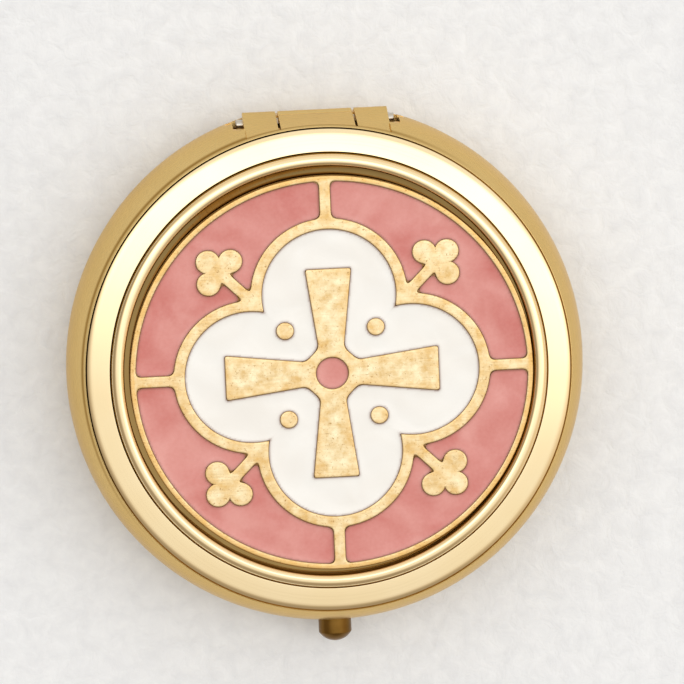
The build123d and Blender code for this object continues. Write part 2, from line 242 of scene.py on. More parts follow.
def box_section(y0, y1, z0, z1):
    """Rectangle in the (y, z) plane."""
    return np.array([(y0, z0), (y1, z0), (y1, z1), (y0, z1)], float)


def box_cutter(name, half, y0, y1, z0, z1):
    """A box for cutting, which reaches from -half to half along X."""
    return bar(name, (-half, half), box_section(y0, y1, z0, z1), [])


def round_arc(centre, radii, start, end, count):
    """Points on an ellipse between two angles in degrees: centre + (a cos t, b sin t)."""
    angle = np.radians(np.linspace(start, end, count))
    return np.array(centre) + np.array(radii) * np.stack([np.cos(angle), np.sin(angle)], 1)


# Satin gilding shows as an even tan outside, with a browner band of painted shade below the crease at
# the back left.
# Inside, the plain gilding of the press is smoother and a little deeper.
satin_gilt = gilt_brass("satin_gilt_brass", "DFC284", "D8B878", "F7E8CC", rough=0.24,
                        scratch_mm=0.12, scratch_height=0.0016, painted_shade=("9A763A", 12.4, 0.45))
inside_gilt = gilt_brass("plain_gilt_brass", "E4C27E", "D4AC66", "F7EAD0", rough=0.2,
                         scratch_mm=0.1, scratch_height=0.001)

case_radius, parting_height, sheet = 25.0, 6.6, 0.7
base_corner, wall_draft = 2.0, 3.5
hinge_y, hinge_z = 23.4, 6.65
notch_half, notch_depth, hinge_back = 8.0, 2.2, 22.1
relief_half, relief_height = 8.9, 0.8
flat_outside, flat_inside = 24.0, 23.3
button_height = 3.95
drill_radius, drill_sides, drill_ends = 1.66, 64, (-26.0, -22.0)
past_case, under_rings, over_parting = 27, 5, 8

corner = round_arc((0, 0), (1, 1), -90, -wall_draft, 16)
corner_centre = np.array([22.7175, base_corner])
outside = np.vstack([[(0, 0)], corner_centre + base_corner * corner, [(case_radius, parting_height)]])
inside = np.vstack([[(case_radius - sheet, parting_height)],
                    (corner_centre + (base_corner - sheet) * corner)[::-1], [(0, sheet)]])
base_section = np.vstack([
    np.column_stack([outside, np.full(len(outside), flat_outside), np.zeros(len(outside))]),
    np.column_stack([inside, np.full(len(inside), flat_inside), np.ones(len(inside))]),
])
base_section = soften(base_section, radius=0.16, closed=False)


def flatten_back(angle, r, z):
    """Clips the wall to a plane at the hinge: r becomes min(r, flat / cos b), b being the angle from +Y.

    Columns are crowded so that one of them runs along each edge of the flat.
    """
    flat = base_section[:, 2:3]
    edge = np.clip(np.arccos(np.clip(flat / np.maximum(r, flat), 0, 1)), 0.2, None)
    half_share = 0.06
    turn = (angle / (2 * np.pi) + 0.5) % 1 - 0.5
    past_edge = (np.abs(turn) - half_share) / (0.5 - half_share)
    b = np.where(np.abs(turn) < half_share, turn / half_share * edge,
                 np.sign(turn) * (edge + past_edge * (np.pi - edge)))
    return b + np.pi / 2, np.minimum(r, flat / np.maximum(np.cos(b), 0.3)), z


base_shell = put_turned("base_shell_pressing", spin(base_section, warp=flatten_back),
                        [satin_gilt, inside_gilt],
                        finish_of_row=np.round(0.5 * (base_section[:-1, 3] + base_section[1:, 3])))
ring = np.linspace(0, 2 * np.pi, drill_sides, endpoint=False)
drill = np.stack([drill_radius * np.cos(ring), button_height + drill_radius * np.sin(ring)], 1)
drill_points = np.concatenate([np.insert(drill, 1, y, axis=1) for y in drill_ends])
cut_away(
    base_shell,
    box_cutter("hinge_notch", notch_half, hinge_back, past_case, hinge_z - notch_depth, over_parting),
    box_cutter("hinge_relief", relief_half, hinge_y, past_case, hinge_z - relief_height,
               hinge_z + relief_height),
    put_mesh("button_drill", drill_points, grid_faces(2, drill_sides, wrap_columns=True), [],
             caps=(range(drill_sides), range(drill_sides, 2 * drill_sides))),
)
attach(base_shell, "base")
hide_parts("base_shell")


# Inner cup. A drawn cup of thin gilded brass that stands on the base's floor and holds the hosts.
# Its top edge is the collar over which the lid slips, trimmed and rolled smooth.
cup_radius, cup_wall, collar_top, cup_floor = 19.6, 0.6, 7.9, 1.3
cup_corner, cup_corner_centre = 1.6, np.array([18.6, 2.3])
cup_section = np.vstack([
    [(0, sheet)],
    cup_corner_centre + cup_corner * corner,
    [(cup_radius + cup_wall, collar_top), (cup_radius, collar_top)],
    (cup_corner_centre + (cup_corner - cup_wall) * corner)[::-1],
    [(0, cup_floor)],
])
cup_section = soften(cup_section, radius=0.12, closed=False)
inner_cup = put_turned("inner_cup_drawn", spin(cup_section), [inside_gilt])
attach(inner_cup, "base")
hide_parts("inner_cup")


# Base rim ring. A flat ring blanked from sheet and soldered between cup and base wall, at the parting.
# A slot lets the catch through, and its back is cut away for the hinge.
slot_half, slot_inner, ring_edge_round, ring_turns = 1.75, -22.05, 0.08, 256


def put_ring(name, inner, outer, bottom, top, slot_outer):
    """A flat ring with rounded edges, slotted for the hook and cut away at the hinge."""
    section = soften(box_section(inner, outer, bottom, top), ring_edge_round)
    piece = put_turned(name, spin(section, ring_turns), [inside_gilt], closed=True)
    cut_away(
        piece,
        box_cutter("ring_notch", notch_half, hinge_back, past_case, under_rings, over_parting),
        box_cutter("ring_slot", slot_half, slot_outer, slot_inner, under_rings, over_parting),
    )
    return piece


base_ring_inner, base_ring_outer, base_ring_bottom, base_slot_outer = 20.25, 24.2, 5.9, -23.65
base_rim_ring = put_ring("base_rim_ring_blank", base_ring_inner, base_ring_outer, base_ring_bottom,
                         parting_height, base_slot_outer)
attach(base_rim_ring, "base")
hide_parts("base_rim_ring")


# Base hinge leaf. A strip of gilded brass rolled round the pin as the hinge's centre knuckle.
# Its tail is soldered flat inside the base wall.
def outward(section):
    """Unit normals of a closed section, away from its inside: the turned central difference."""
    along = np.roll(section, -1, 0) - np.roll(section, 1, 0)
    normal = np.stack([along[:, 1], -along[:, 0]], 1)
    normal /= np.linalg.norm(normal, axis=1, keepdims=True)
    y, z = section.T
    area = np.sum(y * np.roll(z, -1) - np.roll(y, -1) * z)
    return normal * np.sign(area)


def eased_bar(start, end, section, ease, steps=24):
    """Stations along X and sections of a bar with rounded end edges.

    Over the last `ease` millimetres the section shrinks along a quarter circle.
    """
    a = np.linspace(0, np.pi / 2, 5)
    inset, shrink = ease * (1 - np.cos(a)), ease * (1 - np.sin(a))
    between = np.linspace(start + ease, end - ease, steps)[1:-1]
    stations = np.concatenate([start + inset, between, end - inset[::-1]])
    shrink = np.concatenate([shrink, np.zeros(len(between)), shrink[::-1]])
    return stations, section[None] - shrink[:, None, None] * outward(section)[None]


barrel_radius, pin_radius, centre_knuckle = 1.15, 0.5, 7.1
tail_inner, tail_outer, tail_end = 22.65, 23.25, 2.45
roll_start, roll_end, roll_rows = 229.3, -97.5, 64
barrel_centre, barrel_radii = (hinge_y, hinge_z), (barrel_radius, barrel_radius)
knuckle = round_arc(barrel_centre, barrel_radii, roll_start, roll_end, roll_rows)
leaf_section = np.vstack([[(tail_inner, tail_end)], knuckle, [(tail_outer, tail_end)]])
leaf_section = soften(leaf_section, radius=0.06)
stations, sections = eased_bar(-centre_knuckle / 2, centre_knuckle / 2, leaf_section, ease=0.08)
base_hinge_leaf = bar("base_hinge_knuckle", stations, sections, [satin_gilt])
base_hinge_leaf.data.set_sharp_from_angle(angle=np.radians(50))
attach(base_hinge_leaf, "base")
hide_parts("base_hinge_leaf")


# Hinge pin. A length of drawn steel wire, driven through the knuckles and rounded over at both ends.
# The centre knuckle grips it, and its ends stand out beside the lid's leaf as two grey dots.
def drawn_wire(name, colour):
    """Drawn steel: dull grey metal with die lines along the wire, as a noise stretched along X.

    Lines are about 0.1 mm wide and 3 mm long, drawn coarser than the real 0.02 mm.
    """
    material, tree, shader, mm = new_material(name)
    shader["Metallic"].default_value = 1.0
    shader["Base Color"].default_value = linear(colour)
    thin = add_node(tree, "Mapping", {}, {"Scale": (0.3, 9, 9)}, {"Vector": mm})
    lines = add_node(tree, "TexNoise", {}, {"Scale": 1.0, "Detail": 2.0}, {"Vector": thin})
    add_node(tree, "MapRange", {}, {"To Min": 0.22, "To Max": 0.4}, {"Value": lines},
             to=shader["Roughness"])
    return material


pin_half = 7.6
pin_profile = soften([(0, -pin_half), (pin_radius, -pin_half), (pin_radius, pin_half), (0, pin_half)],
                     radius=0.22, closed=False)
y, z, x = np.moveaxis(spin(pin_profile, turns=48), -1, 0)
hinge_pin = put_turned("hinge_pin_wire", np.stack([x, hinge_y + y, hinge_z + z], -1),
                       [drawn_wire("drawn_steel_wire", "C9C4BA")])
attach(hinge_pin, "base")
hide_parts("hinge_pin")


# Catch spring. A strip of rolled spring bronze, bent at the foot and soldered to the base's floor.
# The button is riveted to its upright, and the hook at its top holds the lid's ring until it is pressed.
# Rolled bronze is browner than the gilding, with fine lines and a satin shine.
spring_bronze = gilt_brass("rolled_spring_bronze", "C99A5C", "B98548", "F2DFC4", rough=0.3,
                           scratch_mm=0.09, scratch_height=0.001)
spring_sheet, spring_half, hook_half, shoulder_height = 0.2, 2.0, 1.5, 5.65
foot_start, foot_end, foot_height = -21.0, -22.42, 0.8
upright_y, knee_height, upright_top = -23.3, 2.95, 8.5
hook_root, hook_tip = -23.4, -23.825
hook_bottom, hook_nose, hook_top = 7.5, 7.65, 8.58
spring_rows = 9


def strip_grid(section, half_width):
    """A closed (y, z) section carried across the strip: x = s times the half width, s from -1 to 1."""
    across = np.linspace(-1, 1, spring_rows)[:, None] * np.broadcast_to(half_width, len(section))
    return np.stack([across, *(np.broadcast_to(column, across.shape) for column in section.T)], -1)


line = soften([(foot_start, foot_height), (foot_end, foot_height), (upright_y, knee_height),
               (upright_y, upright_top)], radius=0.5, closed=False, turn=6, span=0.4)
along = np.gradient(line, axis=0)
across = np.stack([along[:, 1], -along[:, 0]], 1) / np.linalg.norm(along, axis=1, keepdims=True)
strip = np.vstack([line + across * spring_sheet / 2, (line - across * spring_sheet / 2)[::-1]])
strip = soften(strip, radius=0.03, turn=12, span=0.4)
hook = soften([(hook_root, hook_bottom), (hook_tip, hook_bottom), (hook_tip, hook_nose),
               (hook_root, hook_top)], radius=0.04, turn=12)
points, faces, caps, start = [], [], [], 0
for grid in (strip_grid(strip, np.where(strip[:, 1] > shoulder_height, hook_half, spring_half)),
             strip_grid(hook, hook_half)):
    columns = grid.shape[1]
    points.append(grid.reshape(-1, 3))
    faces.append(start + grid_faces(spring_rows, columns, wrap_columns=True))
    end = start + spring_rows * columns
    caps += [range(start, start + columns), range(end - columns, end)]
    start = end
catch_spring = put_mesh("catch_spring_strip", np.vstack(points), np.vstack(faces), [spring_bronze],
                        caps=caps)
catch_spring.data.set_sharp_from_angle(angle=np.radians(40))
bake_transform(catch_spring)
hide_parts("catch_spring")


# Push button. Turned from bronze bar, with a domed end, a flange behind the wall and a riveted spigot.
# It is coloured a dark brown, and the turning marks still show as rings.
def turned_bronze(name, dark, worn):
    """Dark bronze: dark brown, and lighter where fingers rub it, by a noise of about 1.5 mm.

    Turning marks are a noise of the place along Y, 0.12 mm apart, drawn coarser than the real 0.05 mm.
    """
    rub_mm, mark_mm, mark_height = 1.5, 0.12, 2e-6
    material, tree, shader, mm = new_material(name)
    shader["Metallic"].default_value = 1.0
    place = add_node(tree, "SeparateXYZ", {}, {}, {0: mm}, out="Y")
    marks = add_node(tree, "TexNoise", {"noise_dimensions": "1D"},
                     {"Scale": 1 / mark_mm, "Detail": 2.0}, {"W": place})
    rub = add_node(tree, "TexNoise", {}, {"Scale": 1 / rub_mm, "Detail": 3.0}, {"Vector": mm})
    add_node(tree, "Mix", {"data_type": "RGBA"}, {"A": linear(dark), "B": linear(worn)},
             {"Factor": rub}, to=shader["Base Color"])
    add_node(tree, "MapRange", {}, {"To Min": 0.24, "To Max": 0.42}, {"Value": marks},
             to=shader["Roughness"])
    add_node(tree, "Bump", {}, {"Strength": 1.0, "Distance": mark_height}, {"Height": marks},
             to=shader["Normal"])
    return material


button_radius, button_tip, dome = 1.6, 27.6, 0.9
flange_radius, flange_face, flange_back = 1.95, 23.95, 23.45
spigot_radius, rivet_radius, rivet_face, rivet_back = 0.7, 1.05, 23.15, 22.75
dome_radius = (button_radius**2 + dome**2) / (2 * dome)
lean = np.linspace(0, np.arcsin(button_radius / dome_radius), 20)
dome_line = np.stack([dome_radius * np.sin(lean),
                      button_tip - dome_radius + dome_radius * np.cos(lean)], 1)
stem_line = [
    (button_radius, flange_face), (flange_radius, flange_face), (flange_radius, flange_back),
    (spigot_radius, flange_back), (spigot_radius, rivet_face), (rivet_radius, rivet_face),
    (rivet_radius, rivet_back), (0, rivet_back),
]
button_profile = soften(np.vstack([dome_line, stem_line]), radius=0.07, closed=False, span=0.4)
x, z, forward = np.moveaxis(spin(button_profile, turns=96), -1, 0)
push_button = put_turned("push_button_turned", np.stack([x, -forward, button_height + z], -1),
                         [turned_bronze("turned_bronze", "64481C", "88642E")])
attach(push_button, "button")
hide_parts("push_button")


# Lid shell. One gilded pressing: a sloping satin wall, a crease, a wide ring, a groove, bead and recess.
# Ring and bead were buffed bright after gilding. The recess is coloured a darker gold as painted shade,
# and its wall a duller, browner gold, also painted shade.
# Crease and groove, with the bead's outer foot, are coloured browner, and nearly black at the back left:
# painted shade that draws them as dark lines.
polished_gilt = gilt_brass("buffed_gilt_brass", "F8E3B8", "F3DAA8", "FFF6E6", rough=0.07,
                           scratch_mm=0.3, scratch_height=0.003)
# Painted shade: the recess floor's gold is darkened.
recess_shade_gilt = gilt_brass("recess_shade_gilt_brass", "94794A", "7E653A", "DCC294", rough=0.04,
                         scratch_mm=0.1, scratch_height=0.0002)
# Painted shade: the bead's inner slope and the recess wall are coloured browner.
inner_wall_shade_gilt = gilt_brass("inner_wall_shade_gilt_brass", "B8944F", "9C783C", "E8CFA0", rough=0.35,
                            scratch_mm=0.1, scratch_height=0.001)
# Painted shade: crease and groove are browner, and nearly black at the back left.
crease_shade_gilt = gilt_brass("crease_shade_gilt_brass", "B8944F", "9C783C", "E8CFA0", rough=0.35,
                         scratch_mm=0.1, scratch_height=0.001, painted_shade=("241806", 13.0, 0.9))


def arc(start, end, sagitta, count):
    """Points on a shallow arc: a straight run pushed sideways by 4 s t (1 - t)."""
    t = np.linspace(0, 1, count)[:, None]
    start, end = np.array(start, float), np.array(end, float)
    run = end - start
    side = np.array([run[1], -run[0]]) / np.hypot(*run)
    return start + t * run + side * sagitta * 4 * t * (1 - t)


lid_rim, recess_floor, recess_radius = 6.7, 12.4, 19.55
wall_bulge, crease_height, crease_inner, crease_outer = 0.3, 12.9, 23.07, 23.22
ring_inner, ring_inner_height, ring_bulge, groove_depth = 20.93, 13.35, 0.012, 0.15
edge_width, edge_steep, edge_flat = 0.6, 0.4, 0.115
crest, bead_height, bead_rise, bead_skirt = 20.08, 13.4, 0.598, 0.4
bead_outside, bead_inside = (0.75, bead_rise), (crest - recess_radius, bead_rise)
buffed_from, buffed_to = 32, 142
lip, crease_foot, crease_depth = 0.1, 0.08, 0.1
lining_radius, lining_height, bead_hollow = 20.25, 11.7, 12.5
ring_hollow, mouth_radius = (22.3, 12.2), 24.3
channel_end, channel_rows = 18.3, 40

lining = [(0, lining_height), (lining_radius, lining_height), (lining_radius, bead_hollow), ring_hollow,
          (mouth_radius, lid_rim), (case_radius, lid_rim)]
over = np.linspace(0, 1, 12)
edge_rise = edge_width * (edge_steep * (over - over**2 / 2) + edge_flat * over)
ring_edge = np.stack([crease_inner - edge_width * over, crease_height + edge_rise], 1)
bead_centre, bead_foot = (crest, bead_height), (recess_radius, bead_height - bead_skirt)
lid_parts = (
    (inside_gilt, lining),
    (satin_gilt, np.vstack([
        arc((case_radius, lid_rim), (crease_outer + lip, crease_height - lip), wall_bulge, 24),
        [(crease_outer + 0.6 * lip, crease_height - 0.25 * lip), (crease_outer, crease_height)],
    ])),
    (crease_shade_gilt, [(crease_outer, crease_height),
                   (crease_inner + crease_foot, crease_height - crease_depth),
                   (crease_inner, crease_height)]),
    (polished_gilt, np.vstack([
        ring_edge,
        arc(ring_edge[-1], (ring_inner, ring_inner_height), ring_bulge, 12),
    ])),
    (crease_shade_gilt, np.vstack([
        [(ring_inner, ring_inner_height), (crest + bead_outside[0], ring_inner_height - groove_depth)],
        round_arc(bead_centre, bead_outside, 0, buffed_from, 6),
    ])),
    (polished_gilt, np.vstack([
        round_arc(bead_centre, bead_outside, buffed_from, 90, 12),
        round_arc(bead_centre, bead_inside, 90, buffed_to, 10)[1:],
    ])),
    (inner_wall_shade_gilt, np.vstack([round_arc(bead_centre, bead_inside, buffed_to, 180, 6), [bead_foot]])),
    (inner_wall_shade_gilt, [bead_foot, (recess_radius, recess_floor)]),
    (recess_shade_gilt, np.column_stack([np.linspace(recess_radius, channel_end, channel_rows),
                                   np.full(channel_rows, recess_floor)])),
    (recess_shade_gilt, [(channel_end, recess_floor), (0, recess_floor)]),
)


def recess_channel(angle, r, z):
    """The recess's floor is a shallow channel from its wall, where t is 0, to the disc, where t is 1.

    It fades out under the disc. The disc's edge lies at 18.99 + 0.22 cos a - 0.2 sin a
    + 0.19 cos 2a, as it is shifted and oval. z gains 0.15 w gap^2 (2 t - 1)^2, where w is 1 at the
    hinge, 0.5 at the sides and 0 at the button.
    """
    edge_radius, shift_x, shift_y, oval, channel_rise = 18.99, 0.22, -0.2, 0.19, 0.15
    disc_edge = edge_radius + shift_x * np.cos(angle) + shift_y * np.sin(angle)
    disc_edge += oval * np.cos(2 * angle)
    gap = recess_radius - disc_edge
    t = (recess_radius - r) / gap
    depth = channel_rise * gap**2 * np.clip(0.5 + 0.6 * np.sin(angle), 0, 1)
    rise = depth * np.where(t < 1, (2 * t - 1) ** 2, np.clip(1 - 4 * (t - 1), 0, 1))
    inside_recess = (r < recess_radius + 0.01) & (z > recess_floor - 0.05)
    return angle, r, np.where(inside_recess, np.maximum(z, recess_floor + rise), z)


lid_section = np.vstack([np.column_stack([part, np.full(len(part), k)])
                         for k, (finish, part) in enumerate(lid_parts)])
lid_section = soften(lid_section, radius=0.04, closed=False, turn=6.5)
part_of_row = np.round(0.5 * (lid_section[:-1, 2] + lid_section[1:, 2])).astype(int)
lid_shell = put_turned("lid_shell_pressing", spin(lid_section, turns=400, warp=recess_channel),
                       [finish for finish, part in lid_parts], finish_of_row=part_of_row)

leaf_half, leaf_top, leaf_head, leaf_sheet, leaf_lean = 6.9, 12.55, 23.35, 0.6, 12.7
leaf_foot = (hinge_y + barrel_radius * np.cos(np.radians(leaf_lean)),
             hinge_z + barrel_radius * np.sin(np.radians(leaf_lean)))
seat_gap, seat_ease, seat_columns = 0.05, 0.02, 33
barrel_room, pocket_inset, pocket_rise = 1.3, 0.3, 3.8
seat_x = np.linspace(-leaf_half - seat_ease, leaf_half + seat_ease, seat_columns)
seat_head = np.sqrt((leaf_head - leaf_sheet - seat_gap) ** 2 - seat_x**2)
seat = np.stack([
    np.stack([seat_head, np.full(seat_columns, leaf_top + seat_ease)], 1),
    np.tile([leaf_foot[0] - leaf_sheet - seat_gap, leaf_foot[1]], (seat_columns, 1)),
    np.tile([past_case, leaf_foot[1]], (seat_columns, 1)),
    np.tile([past_case, leaf_top + seat_ease], (seat_columns, 1)),
], 1)
cut_away(
    lid_shell,
    box_cutter("barrel_notch", notch_half, hinge_back, past_case, under_rings, hinge_z + barrel_room),
    box_cutter("barrel_relief", relief_half, hinge_y, past_case, under_rings, hinge_z + relief_height),
    box_cutter("pin_pocket", notch_half, hinge_y - pocket_inset, past_case, under_rings,
               hinge_z + pocket_rise),
    bar("leaf_seat", seat_x, seat, []),
)
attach(lid_shell, "lid")
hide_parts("lid_shell")


# Lid rim ring. A flat ring blanked from sheet, gilded and soldered in the lid's mouth.
# It slips over the collar, and the hook holds the outer edge of its slot.
lid_ring_inner, lid_ring_outer, lid_ring_top, lid_slot_outer = 20.55, 23.99, 7.4, -23.525
lid_rim_ring = put_ring("lid_rim_ring_blank", lid_ring_inner, lid_ring_outer, lid_rim, lid_ring_top,
                        lid_slot_outer)
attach(lid_rim_ring, "lid")
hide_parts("lid_rim_ring")


# Lid hinge leaf. A gilded plate soldered in the lid's wall, round at the head and straight below.
# Two saw cuts part it into a middle field and two knuckles that turn on the pin.
leaf_end, slit_outer, slit_inner, barrel_end = 6.95, 3.78, 3.56, -287.6
field_room, plate_rows, barrel_rows = 0.15, 24, 64


def leaf_fields():
    """Bars along X for the three fields, as (start, end, section), with a third column for the plate.

    That column is 1 on the plate, which follows the lid's round wall, and 0 on the straight barrel.
    """
    drop = np.linspace(0, 1, plate_rows)[:, None]
    head, foot = np.array([leaf_head, leaf_top]), np.array(leaf_foot)
    front = head + drop * (foot - head)
    back = (front - (leaf_sheet, 0))[::-1]
    barrel = round_arc(barrel_centre, barrel_radii, leaf_lean, barrel_end, barrel_rows)
    back = back[back[:, 1] > barrel[-1, 1] + 0.05]
    knuckle_field = np.vstack([np.insert(front, 2, 1, axis=1), np.insert(barrel[1:], 2, 0, axis=1),
                               np.insert(back, 2, 1, axis=1)])
    front = front[front[:, 1] > hinge_z + barrel_radius + field_room]
    middle_field = np.insert(np.vstack([front, front[::-1] - (leaf_sheet, 0)]), 2, 1, axis=1)
    return ((-leaf_end, -slit_outer, knuckle_field), (-slit_inner, slit_inner, middle_field),
            (slit_outer, leaf_end, knuckle_field))


joined = bmesh.new()
for start, end, section in leaf_fields():
    # A plate point moves in y by sqrt(h^2 - x^2) - h times its share of the height, h being the head.
    section = soften(section, radius=0.05, turn=8)
    x, sections = eased_bar(start, end, section[:, :2], ease=0.04, steps=16)
    rise = np.clip((sections[..., 1] - leaf_foot[1]) / (leaf_top - leaf_foot[1]), 0, 1)
    rise = rise * section[None, :, 2]
    sections[..., 0] += (np.sqrt(leaf_head**2 - x**2) - leaf_head)[:, None] * rise
    field = bar("leaf_field", x, sections, [satin_gilt])
    joined.from_mesh(field.data)
    bpy.data.objects.remove(field)
leaf_mesh = bpy.data.meshes.new("lid_hinge_leaf_plate")
joined.to_mesh(leaf_mesh)
joined.free()
leaf_mesh.materials.append(satin_gilt)
leaf_mesh.shade_smooth()
leaf_mesh.set_sharp_from_angle(angle=np.radians(50))
lid_hinge_leaf = bpy.data.objects.new("lid_hinge_leaf_plate", leaf_mesh)
bpy.context.scene.collection.objects.link(lid_hinge_leaf)
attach(lid_hinge_leaf, "lid")
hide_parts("lid_hinge_leaf")


# Medallion cement. A thin film of clear cement spread in the recess, which holds the disc.
# Only its edge could show, dull yellow and uneven where it was pressed out in blobs of 0.8 mm.
blob_mm = 0.8
cement, tree, shader, mm = new_material("clear_cement")
shader["Base Color"].default_value = linear("8C7A52")
shader["IOR"].default_value = 1.5
blobs = add_node(tree, "TexNoise", {}, {"Scale": 1 / blob_mm, "Detail": 2.0}, {"Vector": mm})
add_node(tree, "MapRange", {}, {"To Min": 0.3, "To Max": 0.6}, {"Value": blobs}, to=shader["Roughness"])
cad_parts["medallion_adhesive"].data.materials.clear()
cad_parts["medallion_adhesive"].data.materials.append(cement)


# Medallion plate. A disc struck in brass and gilded: lines stand above cells that the enamel fills.
# The lines were rubbed flat and satin after firing, and brown oxide stays where they meet the enamel.
# It was cemented a little off the middle of its recess, and is about 2 percent wider than long.
disc_low, disc_high = (np.array(corner) * 1000 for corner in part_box("medallion_plate"))
medallion_bottom, medallion_top = disc_low[2], disc_high[2]
medallion_radius = (disc_high[0] - disc_low[0]) / 2
disc_shift = (disc_low + disc_high) / 2 * (1, 1, 0)
disc_oval = np.array([1.0135, 0.9935, 1.0])
cell_depth, rim_width, line_half = 0.35, 0.57, 0.55
cell_floor = medallion_top - cell_depth
ground_radius = medallion_radius - rim_width
foil_spread, foil_margin, cross_margin = 0.7, 3.5, 3.75
foil_radius = (ground_radius - foil_margin - line_half - foil_spread) / 2
foil_offset = foil_radius + foil_spread
cross_root, cross_end, cross_boss, cross_round = 0.9, 2.2, 1.5, 0.25
cross_length = foil_offset + foil_radius - line_half - cross_margin
dot_radius, dot_inset = 0.85, 1.5
dot_centre = (foil_offset - dot_inset) / np.sqrt(2)
sprig_radius, sprig_reach, sprig_margin = 1.15, 1.5, 1.4
sprig_centre = ground_radius - sprig_margin - sprig_radius - sprig_reach


def round_max(*fields):
    """Largest of several distances, its corners rounded: max + k/4 (1 - |a - b| / k)^2 with k 0.7 mm."""
    k = 0.7
    total = fields[0]
    for field in fields[1:]:
        blend = np.maximum(k - np.abs(total - field), 0) / k
        total = np.maximum(total, field) + k / 4 * blend**2
    return total


def foil_distance(x, y):
    """Distance to a quatrefoil, negative inside: nearest of four circles and one in the middle."""
    x, y = np.abs(x), np.abs(y)
    lobes = np.minimum(np.hypot(x - foil_offset, y), np.hypot(x, y - foil_offset)) - foil_radius
    return np.minimum(lobes, np.hypot(x, y) - foil_offset)


def white_cell(x, y):
    """Distance to the white cell: inside the foil's line, outside flared cross, boss and four dots."""
    x, y = np.abs(x), np.abs(y)
    a, b = np.maximum(x, y), np.minimum(x, y)
    lean = (cross_end - cross_root) / cross_length
    side = (b - cross_root - lean * a) / np.hypot(1, lean) + cross_round
    tip = a - cross_length + cross_round
    corner = np.hypot(np.maximum(side, 0), np.maximum(tip, 0))
    cross = np.minimum(np.maximum(side, tip), 0) + corner - cross_round
    boss = np.hypot(x, y) - cross_boss - 2 * line_half
    dots = np.hypot(x - dot_centre, y - dot_centre) - dot_radius
    return round_max(foil_distance(x, y) + line_half, -cross, -boss, -dots)


def pink_cells(x, y):
    """Distance to the pink cells: the boss, and the ground outside the foil less its bars and sprigs."""
    x, y = np.abs(x), np.abs(y)
    bars = np.minimum(x, y) - line_half
    u, w = (x + y) / np.sqrt(2), np.abs(y - x) / np.sqrt(2)
    stem = np.maximum(w - line_half, u - sprig_centre - sprig_reach)
    leaves = np.minimum(np.hypot(u - sprig_centre - sprig_reach, w),
                        np.hypot(u - sprig_centre, w - sprig_reach))
    ground = round_max(np.hypot(x, y) - ground_radius, line_half - foil_distance(x, y), -bars, -stem,
                       sprig_radius - leaves)
    return np.minimum(ground, np.hypot(x, y) - cross_boss)


def gold_lines(x, y):
    """Distance to the standing metal: the disc without its cells."""
    disc = np.hypot(x, y) - medallion_radius
    return np.maximum(np.maximum(disc, -white_cell(x, y)), -pink_cells(x, y))


def slope_of(distance, x, y):
    """Unit direction in which a distance grows, by central differences over 0.02 mm."""
    h = 0.01
    gx = distance(x + h, y) - distance(x - h, y)
    gy = distance(x, y + h) - distance(x, y - h)
    size = np.maximum(np.hypot(gx, gy), 1e-9)
    return gx / size, gy / size


def field_patch(distance, level, pitch):
    """Grid over the disc, kept where distance < level, with its border moved onto that level.

    Returns points (n, 2), quads and border edges (as ordered pairs).
    """
    overlap, offset, passes = 0.4, 0.13, 6
    count = int(2 * (medallion_radius + overlap) / pitch)
    line = (np.arange(count + 1) - count / 2) * pitch + pitch * offset
    x, y = (a.ravel() for a in np.meshgrid(line, line, indexing="ij"))
    quads = grid_faces(count + 1, count + 1)
    quads = quads[distance(x[quads].mean(1), y[quads].mean(1)) < level]
    used, quads = np.unique(quads, return_inverse=True)
    x, y, quads = x[used], y[used], quads.reshape(-1, 4)
    edges = np.stack([quads, np.roll(quads, -1, 1)], -1).reshape(-1, 2)
    key = np.sort(edges, 1) @ np.array([len(used), 1])
    _, first, times = np.unique(key, return_index=True, return_counts=True)
    border = edges[first[times == 1]]
    rim = np.unique(border)
    for _ in range(passes):
        gx, gy = slope_of(distance, x[rim], y[rim])
        off = distance(x[rim], y[rim]) - level
        x[rim] -= gx * off
        y[rim] -= gy * off
    return np.stack([x, y], 1), quads, border


def disc_spots(piece):
    """Vertices of a piece in millimetres on the round disc, with its shift and its oval undone."""
    spots = np.empty(len(piece.data.vertices) * 3, np.float32)
    piece.data.vertices.foreach_get("co", spots)
    return (spots.reshape(-1, 3) * 1000 - disc_shift) / disc_oval


def paint_points(piece, attribute_name, share):
    """Keeps one number for each vertex, which a material reads by name."""
    attribute = piece.data.attributes.new(attribute_name, "FLOAT", "POINT")
    attribute.data.foreach_set("value", share.astype(np.float32))


